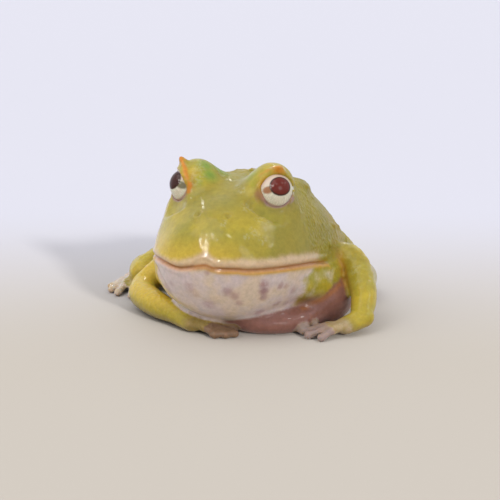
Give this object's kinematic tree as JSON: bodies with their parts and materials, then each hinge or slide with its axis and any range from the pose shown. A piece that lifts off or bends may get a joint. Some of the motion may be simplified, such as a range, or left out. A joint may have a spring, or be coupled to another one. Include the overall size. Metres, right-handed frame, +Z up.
{
  "type": "cranwells horned frog",
  "caption": "Squat wide-mouthed horned frog sitting on its belly, head raised, arms turned in, small horns over the eyes, a still model.",
  "frame": {"origin": "on the floor, in the flat of the belly, on the middle plane of the head", "axes": "+Z up, -Y the way the snout points, +X towards the frog's left"},
  "size_m": [0.0772, 0.078, 0.0404],
  "materials": {
    "skin": "wet smooth skin, yellow-green",
    "belly": "wet smooth skin, pale pink-white",
    "digits": "wet thin skin, pinkish cream",
    "horn": "soft skin point, orange",
    "eye": "glossy, pale iris with a dark red pupil"
  },
  "bodies": {
    "root": {"head": "skin", "lower_jaw": "belly", "torso": "skin", "eyelid_l": "skin", "eyelid_r": "skin", "horn_l": "horn", "horn_r": "horn", "eye_l": "eye", "eye_r": "eye", "ear_l": "skin", "ear_r": "skin", "upper_arm_l": "skin", "upper_arm_r": "skin", "forearm_l": "skin", "forearm_r": "skin", "hand_l": "digits", "hand_r": "digits", "thigh_l": "skin", "thigh_r": "skin", "shank_l": "skin", "shank_r": "skin", "foot_l": "digits", "foot_r": "digits"}
  },
  "joints": []
}
